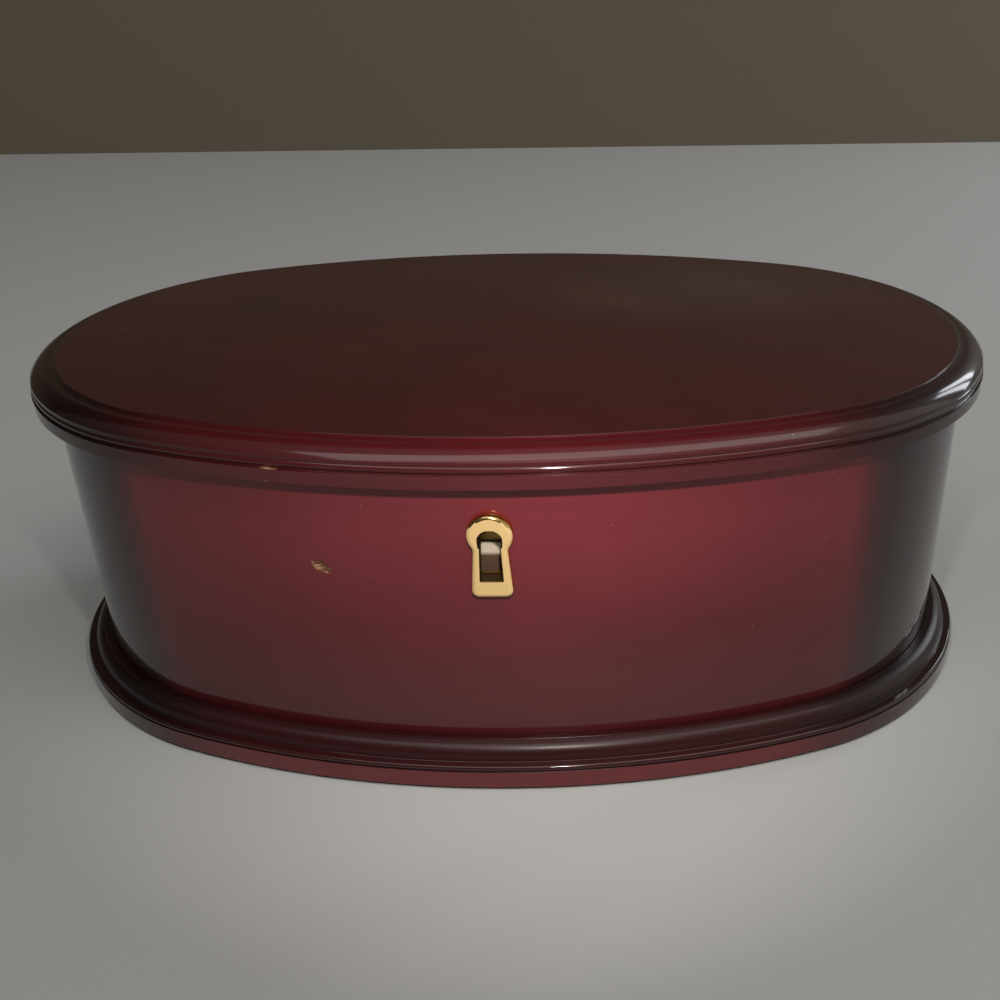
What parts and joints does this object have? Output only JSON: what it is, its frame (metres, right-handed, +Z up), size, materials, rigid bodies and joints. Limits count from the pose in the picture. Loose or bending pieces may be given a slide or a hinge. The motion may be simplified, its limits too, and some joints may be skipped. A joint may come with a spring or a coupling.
{
  "type": "jewelry box",
  "caption": "Oval lacquered wooden jewelry box with a moulded base, a hinged moulded lid, a brass keyhole plate, a box lock and a velvet-lined interior.",
  "frame": {"origin": "middle of the underside, on the plane the box stands on", "axes": "+X along the length, to the right seen from the front; +Y from the keyhole side to the hinge side; +Z up"},
  "size_m": [0.298, 0.19, 0.1055],
  "materials": {
    "lacquered_wood": "gloss lacquer",
    "brass": "polished",
    "lock_steel": "dull",
    "velvet": "velvet",
    "felt": "felt",
    "mirror": "silvered glass"
  },
  "bodies": {
    "box": {"base_felt": "felt", "base_board": "lacquered_wood", "box_wall": "lacquered_wood", "wall_lining": "velvet", "floor_card": "velvet", "divider_left": "velvet", "divider_right": "velvet", "pad_left": "velvet", "pad_right": "velvet", "ring_rolls": "velvet", "escutcheon": "brass", "lock_plate": "lock_steel", "lock_cap": "lock_steel", "lock_lever": "lock_steel", "bolt_spring": "lock_steel", "lock_screws": "brass", "hinge_leaf_wall_left": "brass", "hinge_leaf_wall_right": "brass", "hinge_pin_left": "brass", "hinge_pin_right": "brass", "hinge_screws_wall": "brass"},
    "lid": {"lid_board": "lacquered_wood", "lid_lining": "velvet", "lid_mirror": "mirror", "hinge_leaf_lid_left": "brass", "hinge_leaf_lid_right": "brass", "hinge_screws_lid": "brass", "strike_plate": "brass", "strike_screws": "brass"},
    "bolt": {"lock_bolt": "brass"}
  },
  "joints": [
    {"name": "lid_hinge", "type": "hinge", "parent": "box", "child": "lid", "pos_m": [0, 0.0883, 0.0945], "axis": [-1, 0, 0], "range_deg": [0, 95]},
    {"name": "bolt_slide", "type": "slide", "parent": "box", "child": "bolt", "axis": [1, 0, 0], "range_m": [0, 0.0026]}
  ]
}
